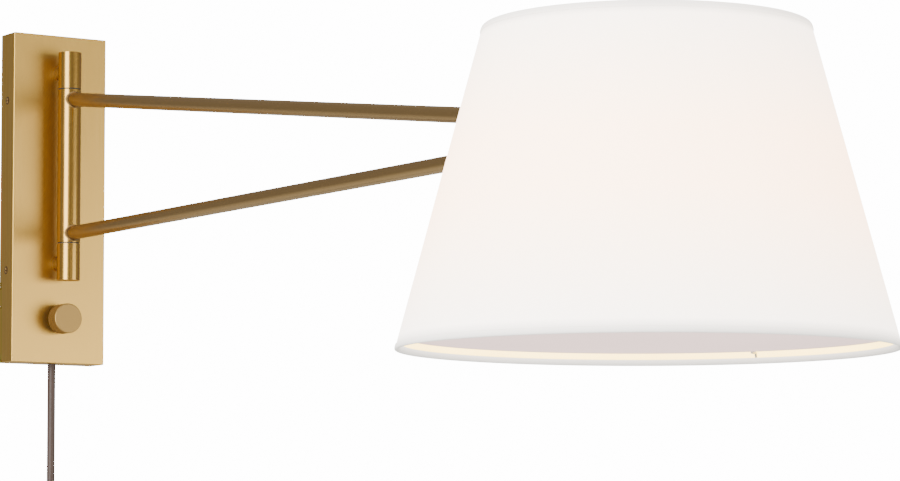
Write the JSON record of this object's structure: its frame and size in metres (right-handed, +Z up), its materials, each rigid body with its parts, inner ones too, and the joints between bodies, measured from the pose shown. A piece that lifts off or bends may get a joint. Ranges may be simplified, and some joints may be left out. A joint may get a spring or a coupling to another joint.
{
  "type": "swing arm wall sconce",
  "caption": "Plug-in wall lamp with a slim plate, a two-rod swinging arm, a tapered fabric shade with a recessed diffuser and a dimmer knob.",
  "frame": {"origin": "middle of the plate's wall face", "axes": "+Z up, +Y into the wall, +X to the right of somebody who faces the wall; the arm stands out along -Y at rest"},
  "size_m": [0.2676, 0.8413, 0.4888],
  "materials": {
    "satin_brass": "brushed satin, lacquered",
    "steel": "zinc plated",
    "white_enamel": "white enamel on steel wire",
    "bush_nylon": "natural nylon",
    "shade_linen": "off-white linen weave",
    "shade_lining": "white styrene lining film",
    "diffuser_acrylic": "opal acrylic",
    "socket_phenolic": "black phenolic",
    "socket_brass": "bright brass",
    "bulb_frosted": "frosted glass",
    "dimmer_plastic": "moulded black plastic",
    "cord_brown": "brown vinyl sheath",
    "tie_black": "woven strap",
    "lead_insulation": "insulated lead"
  },
  "bodies": {
    "base": {"backplate_cover": "satin_brass", "cover_screws": "satin_brass", "wall_bracket": "steel", "post_washers": "steel", "post_nuts": "steel", "lower_post": "satin_brass", "upper_post": "satin_brass", "lower_knuckle": "satin_brass", "upper_knuckle": "satin_brass", "lower_bush": "bush_nylon", "upper_bush": "bush_nylon", "dimmer_body": "dimmer_plastic", "dimmer_bushing": "steel", "dimmer_nut": "satin_brass", "strain_relief": "dimmer_plastic", "supply_cord": "cord_brown", "cord_coil": "cord_brown", "cord_tie": "tie_black", "cord_tail": "cord_brown", "plug_body": "cord_brown", "plug_blades": "socket_brass", "base_lead": "lead_insulation"},
    "swing_arm": {"swivel_tube": "satin_brass", "lower_stub": "steel", "upper_stub": "steel", "lower_arm": "satin_brass", "upper_arm": "satin_brass", "arm_hub": "satin_brass", "hub_set_screw": "steel", "socket_shell": "socket_phenolic", "socket_cap": "socket_brass", "socket_insulator": "socket_phenolic", "socket_screw_shell": "socket_brass", "socket_contact": "socket_brass", "socket_ring_nut": "white_enamel", "bulb_glass": "bulb_frosted", "bulb_base": "socket_brass", "shade_fabric": "shade_linen", "shade_liner": "shade_lining", "shade_top_trim": "shade_linen", "shade_bottom_trim": "shade_linen", "shade_bottom_ring": "steel", "shade_spider": "white_enamel", "shade_eyelet": "satin_brass", "diffuser": "diffuser_acrylic", "diffuser_clips": "steel", "lamp_lead": "lead_insulation"},
    "knob": {"dimmer_knob": "satin_brass", "dimmer_shaft": "steel", "knob_set_screw": "steel"}
  },
  "joints": [
    {"name": "arm_swing", "type": "hinge", "parent": "base", "child": "swing_arm", "pos_m": [0, -0.0345, 0.02135], "axis": [0, 0, 1], "range_deg": [-80, 80]},
    {"name": "knob_turn", "type": "hinge", "parent": "base", "child": "knob", "pos_m": [0, -0.02, -0.0839], "axis": [0, -1, 0], "range_deg": [-135, 135]}
  ]
}
